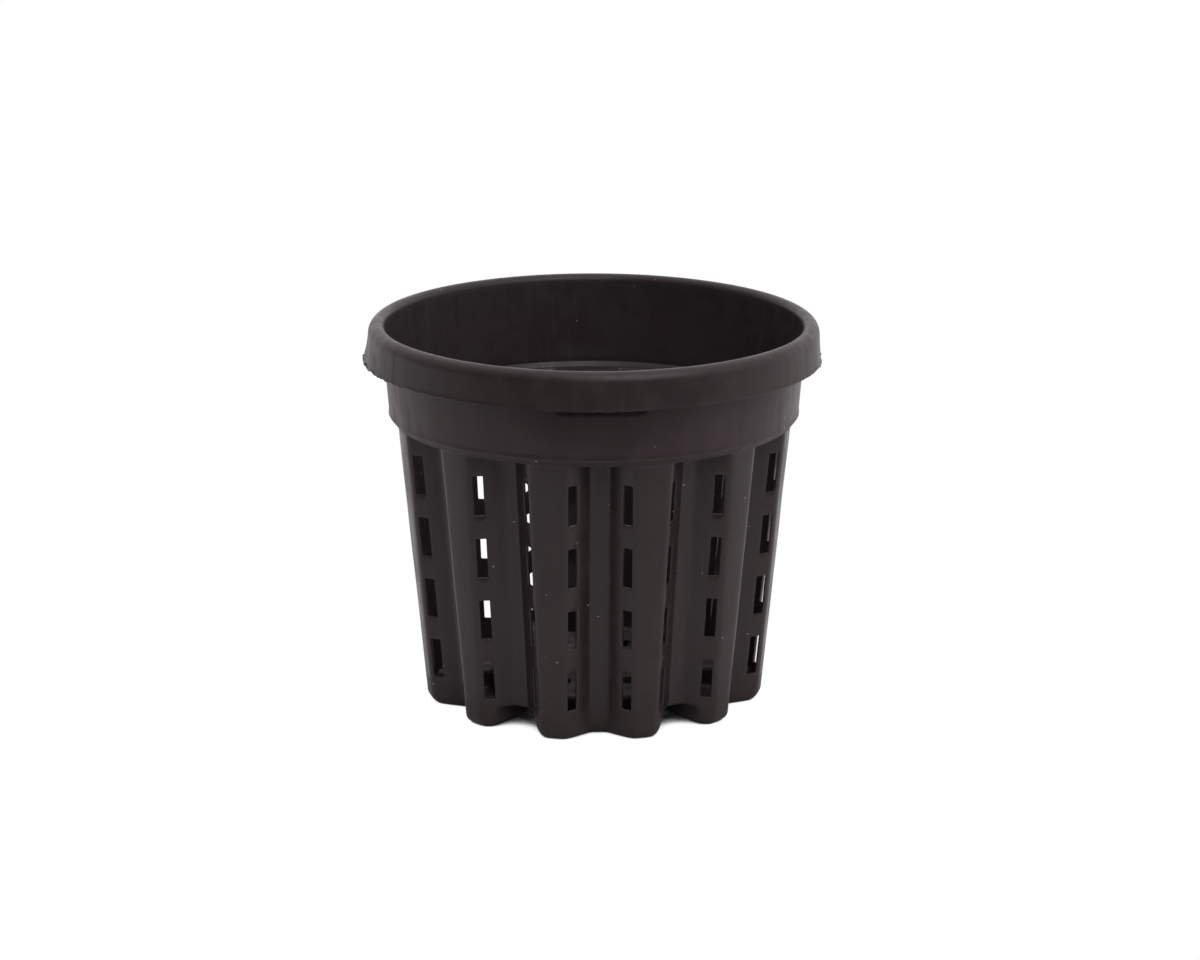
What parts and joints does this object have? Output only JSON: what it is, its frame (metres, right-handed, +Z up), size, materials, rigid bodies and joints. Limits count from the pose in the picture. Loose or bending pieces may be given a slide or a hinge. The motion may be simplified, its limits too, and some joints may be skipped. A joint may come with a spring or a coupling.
{
  "type": "air pruning pot",
  "caption": "Round tapered nursery pot with a rolled rim, smooth collar, fluted wall with rows of air slots, arched drain feet and a raised drain floor.",
  "frame": {"origin": "on the ground, under the centre of the pot", "axes": "+Z up along the pot's axis; a foot faces -Y, the side that the picture shows"},
  "size_m": [0.22, 0.22, 0.1885],
  "materials": {
    "rim_plastic": "moulded, satin",
    "collar_plastic": "moulded, satin",
    "flute_plastic": "moulded, satin",
    "foot_plastic": "moulded, satin",
    "floor_plastic": "moulded, satin"
  },
  "bodies": {
    "root": {"rim_lip": "rim_plastic", "collar_band": "collar_plastic", "ledge_ring": "collar_plastic", "flute_01": "flute_plastic", "flute_02": "flute_plastic", "flute_03": "flute_plastic", "flute_04": "flute_plastic", "flute_05": "flute_plastic", "flute_06": "flute_plastic", "flute_07": "flute_plastic", "flute_08": "flute_plastic", "flute_09": "flute_plastic", "flute_10": "flute_plastic", "flute_11": "flute_plastic", "flute_12": "flute_plastic", "foot_01": "foot_plastic", "foot_02": "foot_plastic", "foot_03": "foot_plastic", "foot_04": "foot_plastic", "foot_05": "foot_plastic", "foot_06": "foot_plastic", "drain_floor": "floor_plastic"}
  },
  "joints": []
}
